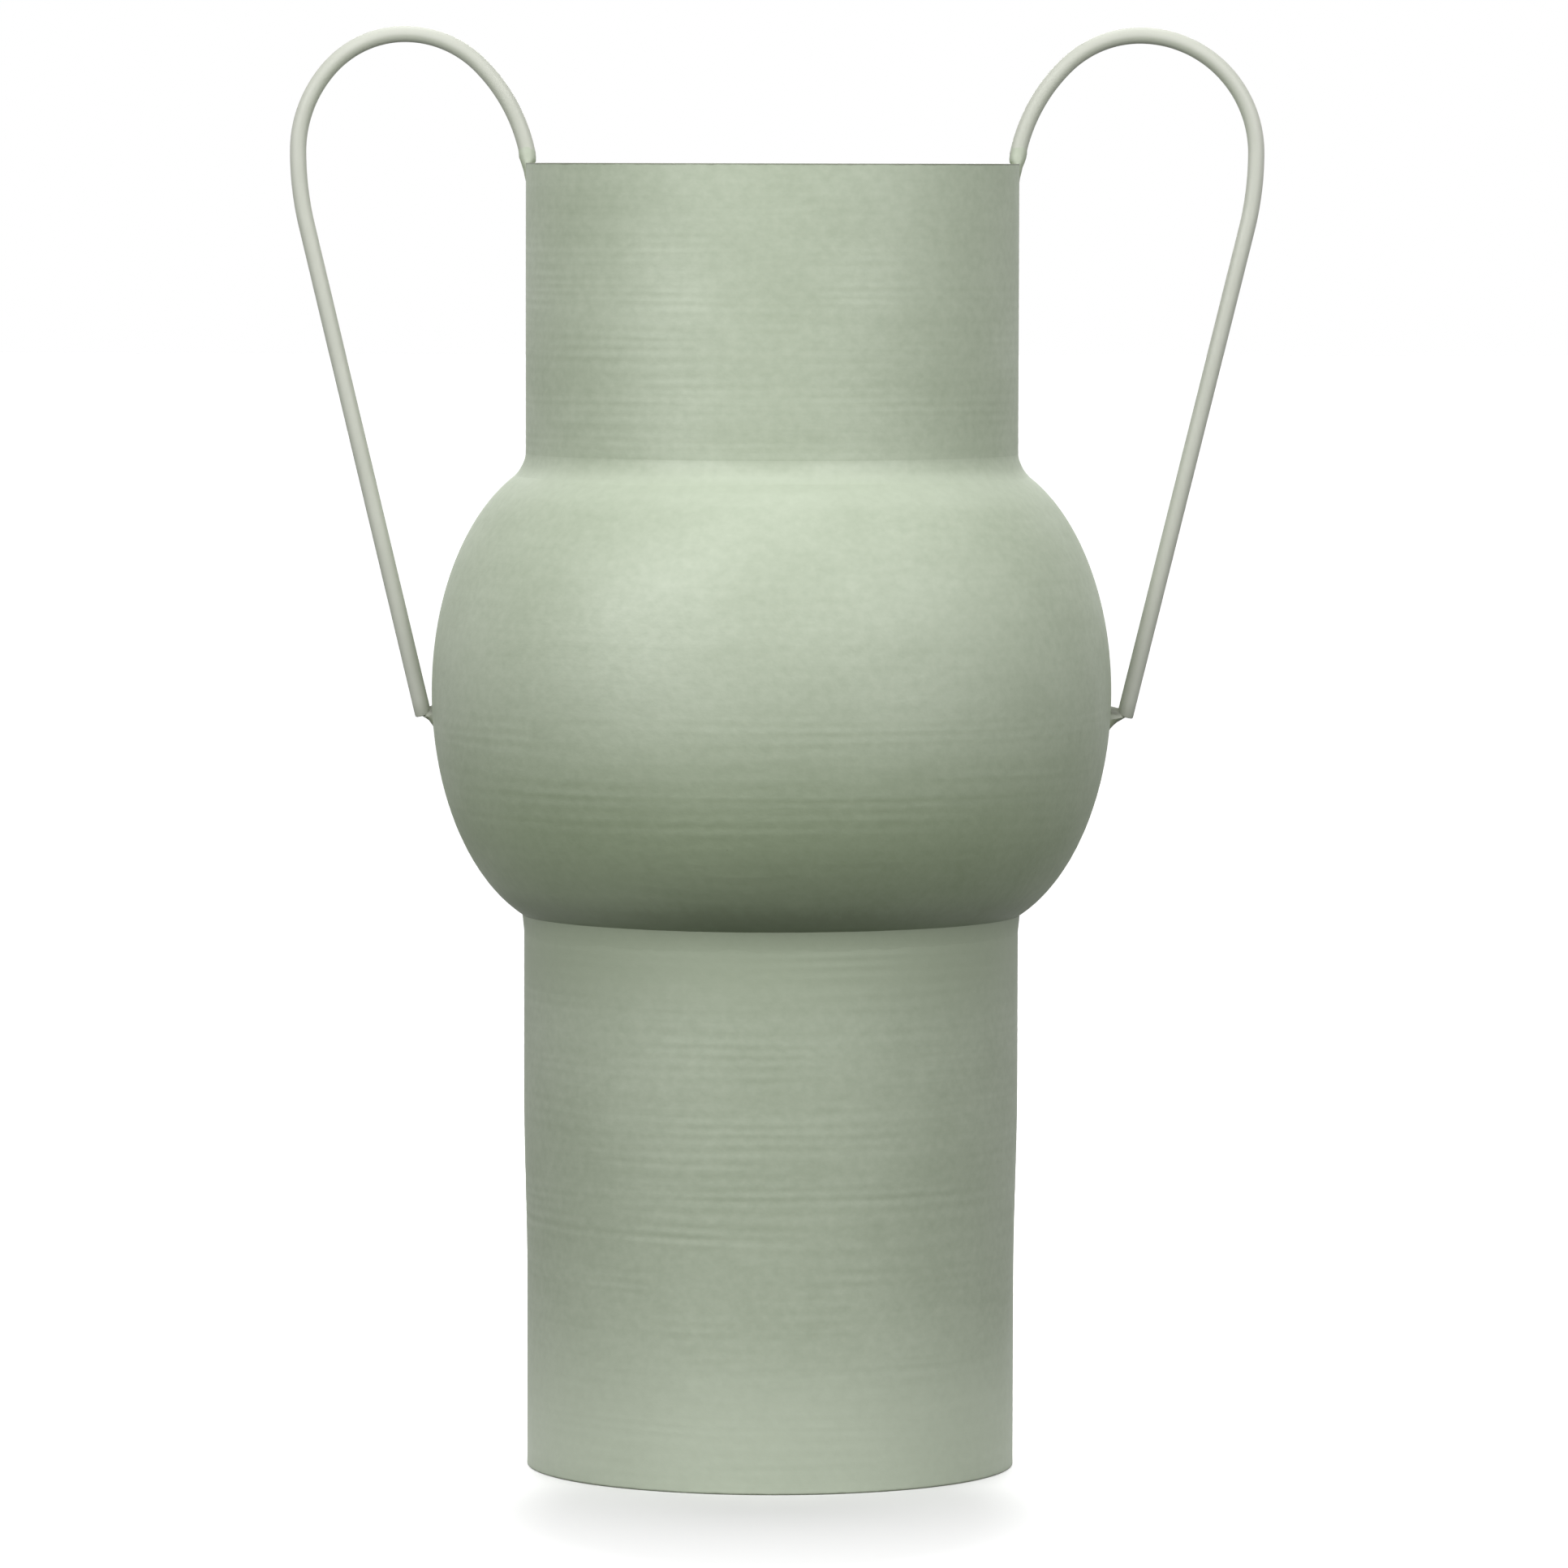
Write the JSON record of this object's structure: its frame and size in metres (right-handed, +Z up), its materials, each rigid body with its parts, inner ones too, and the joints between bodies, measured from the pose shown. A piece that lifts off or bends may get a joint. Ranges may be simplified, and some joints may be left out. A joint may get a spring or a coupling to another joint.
{
  "type": "urn vase",
  "caption": "Urn vase of painted sheet metal with a straight open neck, round belly, straight foot and tall wire loop handles, for holding stems.",
  "frame": {"origin": "middle of the foot on the surface the vase stands on", "axes": "+Z up along the vase's axis, handles along X, +Y towards the back, where the tubes' seams are"},
  "size_m": [0.237, 0.1658, 0.3512],
  "materials": {
    "body_paint": "matte sage green paint over spun lines",
    "wire_paint": "matte pale sage paint on round wire",
    "weld_paint": "matte sage green paint over weld metal",
    "base_paint": "matte sage green paint, thinner and darker under the foot"
  },
  "bodies": {
    "root": {"neck_tube": "body_paint", "neck_seam_weld": "weld_paint", "neck_joint_weld": "body_paint", "belly_upper_shell": "body_paint", "belly_lower_shell": "body_paint", "belly_seam_weld": "body_paint", "foot_joint_weld": "body_paint", "foot_tube": "body_paint", "foot_seam_weld": "weld_paint", "base_plate": "base_paint", "base_weld": "base_paint", "left_handle": "wire_paint", "right_handle": "wire_paint", "left_rim_weld": "weld_paint", "right_rim_weld": "weld_paint", "left_belly_weld": "weld_paint", "right_belly_weld": "weld_paint"}
  },
  "joints": []
}
